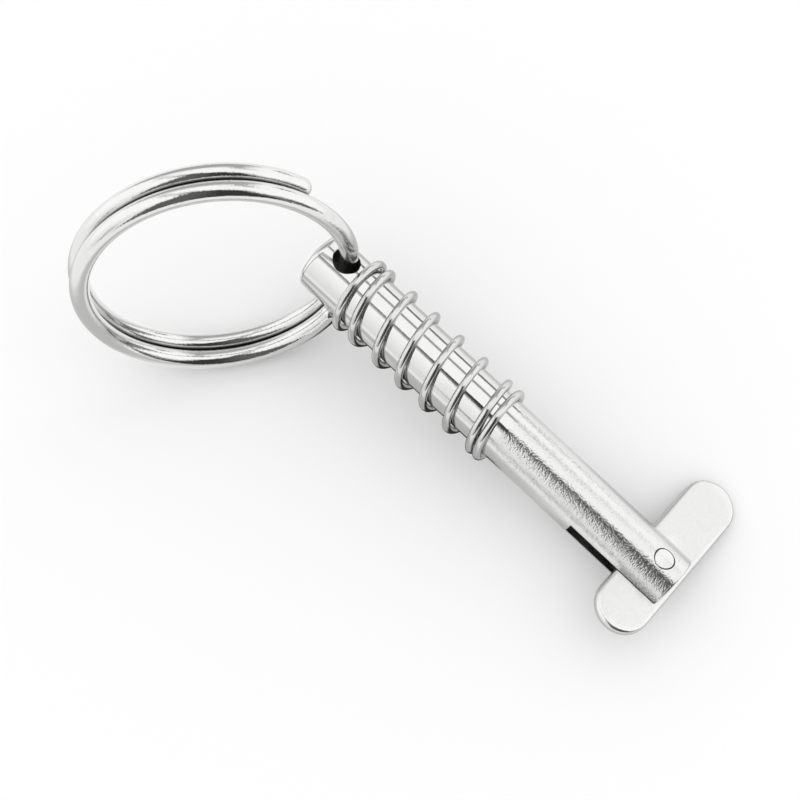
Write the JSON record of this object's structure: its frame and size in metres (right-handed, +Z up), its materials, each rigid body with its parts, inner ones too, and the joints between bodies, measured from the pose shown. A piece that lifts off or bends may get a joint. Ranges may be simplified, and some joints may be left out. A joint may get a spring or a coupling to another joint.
{
  "type": "toggle quick-release pin",
  "caption": "Stainless quick-release pin: domed shank with a slotted end and a pivoting toggle bar, a compression spring on the shank and a two-layer split ring through the head.",
  "frame": {"origin": "centre of the bounding box at floor level, the pin lying as it comes to rest on its ring, its toggle and the rim of its slotted end", "axes": "+Z up; +X along the floor under the shank, from the domed head to the toggle end; +Y to the side the toggle's long arm points to"},
  "size_m": [0.0634, 0.0334, 0.0285],
  "materials": {
    "shank_steel": "polished stainless with fine turning and draw marks",
    "toggle_steel": "tumbled stainless, satin",
    "rivet_steel": "ground flush, satin stainless",
    "spring_steel": "bright drawn stainless spring wire",
    "ring_steel": "bright polished stainless wire"
  },
  "bodies": {
    "pin": {"pin_body": "shank_steel", "rivet": "rivet_steel"},
    "toggle": {"toggle": "toggle_steel"},
    "ring": {"split_ring": "ring_steel"},
    "spring": {"spring": "spring_steel"}
  },
  "joints": [
    {"name": "toggle_pivot", "type": "hinge", "parent": "pin", "child": "toggle", "pos_m": [0.02845, 0.00474, 0.00348], "axis": [0.1527, 0.2317, 0.9607], "range_deg": [-227, 54]},
    {"name": "ring_swing", "type": "hinge", "parent": "pin", "child": "ring", "pos_m": [-0.01383, 0.00493, 0.01016], "axis": [0.1527, 0.2317, 0.9607], "range_deg": [-208, 111]},
    {"name": "spring_slide", "type": "slide", "parent": "pin", "child": "spring", "axis": [0.9876, 0, -0.157], "range_m": [-0.0002, 0.0088]}
  ]
}
